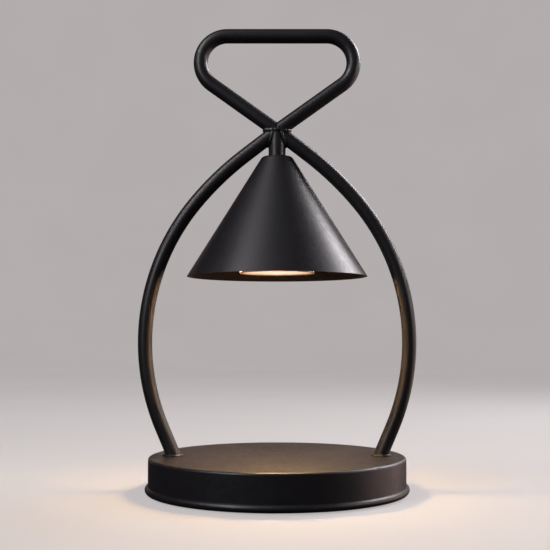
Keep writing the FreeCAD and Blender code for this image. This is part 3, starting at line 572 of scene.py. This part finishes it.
def soft_box(name, place, aim, width, height, power, colour, roll=0.0):
    """A rectangular soft light."""
    made = hidden_light(name, "AREA", place, power, colour)
    made.data.shape = "RECTANGLE"
    made.data.size = width
    made.data.size_y = height
    facing = (Vector(aim) - Vector(place)).to_track_quat("-Z", "Y")
    made.rotation_euler = (facing @ Quaternion((0, 0, 1), roll)).to_euler()
    return made


def soft_box_towards(name, azimuth, elevation, roll, width, height, radiance, colour):
    """A soft box that way from the middle, in degrees: azimuth 0 is in front, 90 to the right, 180 behind."""
    turn, rise = math.radians(azimuth), math.radians(elevation)
    way = Vector((math.cos(rise) * math.sin(turn), -math.cos(rise) * math.cos(turn), math.sin(rise)))
    place = STUDIO_MIDDLE + way * LIGHT_DISTANCE
    power = radiance * math.pi * width * height
    return soft_box(name, place, STUDIO_MIDDLE, width, height, power, colour, math.radians(roll))


def lamp_light():
    """The light that the lamp throws down, over the seat and the arms, and what leaks round its rim."""
    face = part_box("bulb_reflector")[0].z
    made = hidden_light("lamp_light", "AREA", (0, 0, face - LAMP_BELOW_FACE), LAMP_WATTS, LAMP_AMBER)
    made.data.shape = "DISK"
    made.data.size = LAMP_DISK
    for leak in range(LEAKS):
        turn = FULL_TURN * leak / LEAKS
        place = (LEAK_CIRCLE * math.cos(turn), LEAK_CIRCLE * math.sin(turn), face + LEAK_ABOVE_FACE)
        made = hidden_light("rim_leak", "POINT", place, LEAK_WATTS, LEAK_AMBER)
        made.data.shadow_soft_size = LEAK_SIZE


def stage_finish():
    """Plain pale grey, a little uneven, with a glow of its own that keeps it even to the top."""
    paint = Finish("stage_paint", Roughness=0.9, Emission_Strength=1.0)
    clouds = paint.spots(PAINT_CLOUDS, detail=3)
    paint.feed("Base Color", paint.mix(clouds, (0.20, 0.195, 0.19), (0.22, 0.215, 0.21)))
    paint.feed("Emission Color", paint.mix(clouds, (0.42, 0.395, 0.39), (0.45, 0.425, 0.42)))
    return paint.material


def cove():
    """A round studio: flat floor that sweeps up into a wall on every side."""
    inner_rings = (0.3, 0.9)
    floor_radius = 2.2
    sweep = 1.0
    wall_top = 3.2
    sides = 96
    steps = 12
    outline = [(radius, 0.0) for radius in (*inner_rings, floor_radius)]
    for step in range(1, steps + 1):
        turn = QUARTER_TURN * step / steps
        outline.append((floor_radius + sweep * math.sin(turn), sweep * (1 - math.cos(turn))))
    outline.append((floor_radius + sweep, wall_top))
    points = [(0.0, 0.0, 0.0)]
    faces = []
    for radius, height in outline:
        for side in range(sides):
            turn = FULL_TURN * side / sides
            points.append((radius * math.cos(turn), radius * math.sin(turn), height))
    for side in range(sides):
        after = (side + 1) % sides
        faces.append((0, 1 + side, 1 + after))
        for ring in range(len(outline) - 1):
            low, high = 1 + ring * sides, 1 + (ring + 1) * sides
            faces.append((low + side, high + side, high + after, low + after))
    made = object_from("studio_cove", points, faces)
    made.data.materials.append(stage_finish())
    # A pale floor would lighten the black base more than the photo's wooden table does
    made.visible_diffuse = False
    made.visible_glossy = False
    made.visible_shadow = False


def spare_the_floor(*lights):
    """Lights that reach below the floor light the lamp alone, so that they leave no line on it."""
    spared = bpy.data.collections.new("spared_floor")
    spared.objects.link(bpy.data.objects["studio_cove"])
    spared.collection_objects[0].light_linking.link_state = "EXCLUDE"
    for light in lights:
        light.light_linking.receiver_collection = spared


def studio():
    """Soft lights: the main one behind right, a wide one behind, and others beside, above and in front."""
    boxes = {name: soft_box_towards(name, *row) for name, row in SOFT_BOXES.items()}
    behind = soft_box("behind", BEHIND_PLACE, BEHIND_AIM, BEHIND_WIDTH, BEHIND_HEIGHT, BEHIND_WATTS,
                      BEHIND_COLOUR)
    spare_the_floor(boxes["low_right"], behind)
    world = bpy.data.worlds.new("studio_fill")
    world.use_nodes = True
    world.node_tree.nodes["Background"].inputs["Color"].default_value = (*COOL_WHITE, 1.0)
    world.node_tree.nodes["Background"].inputs["Strength"].default_value = FILL_STRENGTH
    bpy.context.scene.world = world
    bpy.context.scene.view_settings.view_transform = "Standard"


def camera():
    """The photograph's view."""
    data = bpy.data.cameras.new("camera")
    data.sensor_width = SENSOR_WIDTH
    data.lens = SENSOR_WIDTH * FOCAL_PIXELS / PICTURE_WIDTH
    data.shift_y = CAMERA_SHIFT
    data.clip_start = NEAREST_SEEN
    made = bpy.data.objects.new("camera", data)
    made.location = (EYE_ASIDE, -EYE_DISTANCE, EYE_HEIGHT)
    made.rotation_euler = (QUARTER_TURN + CAMERA_TILT, 0, 0)
    bpy.context.scene.collection.objects.link(made)
    bpy.context.scene.camera = made


dress_nodes()
weld_metal()
faceted_reflector()
cove()
studio()
lamp_light()
camera()
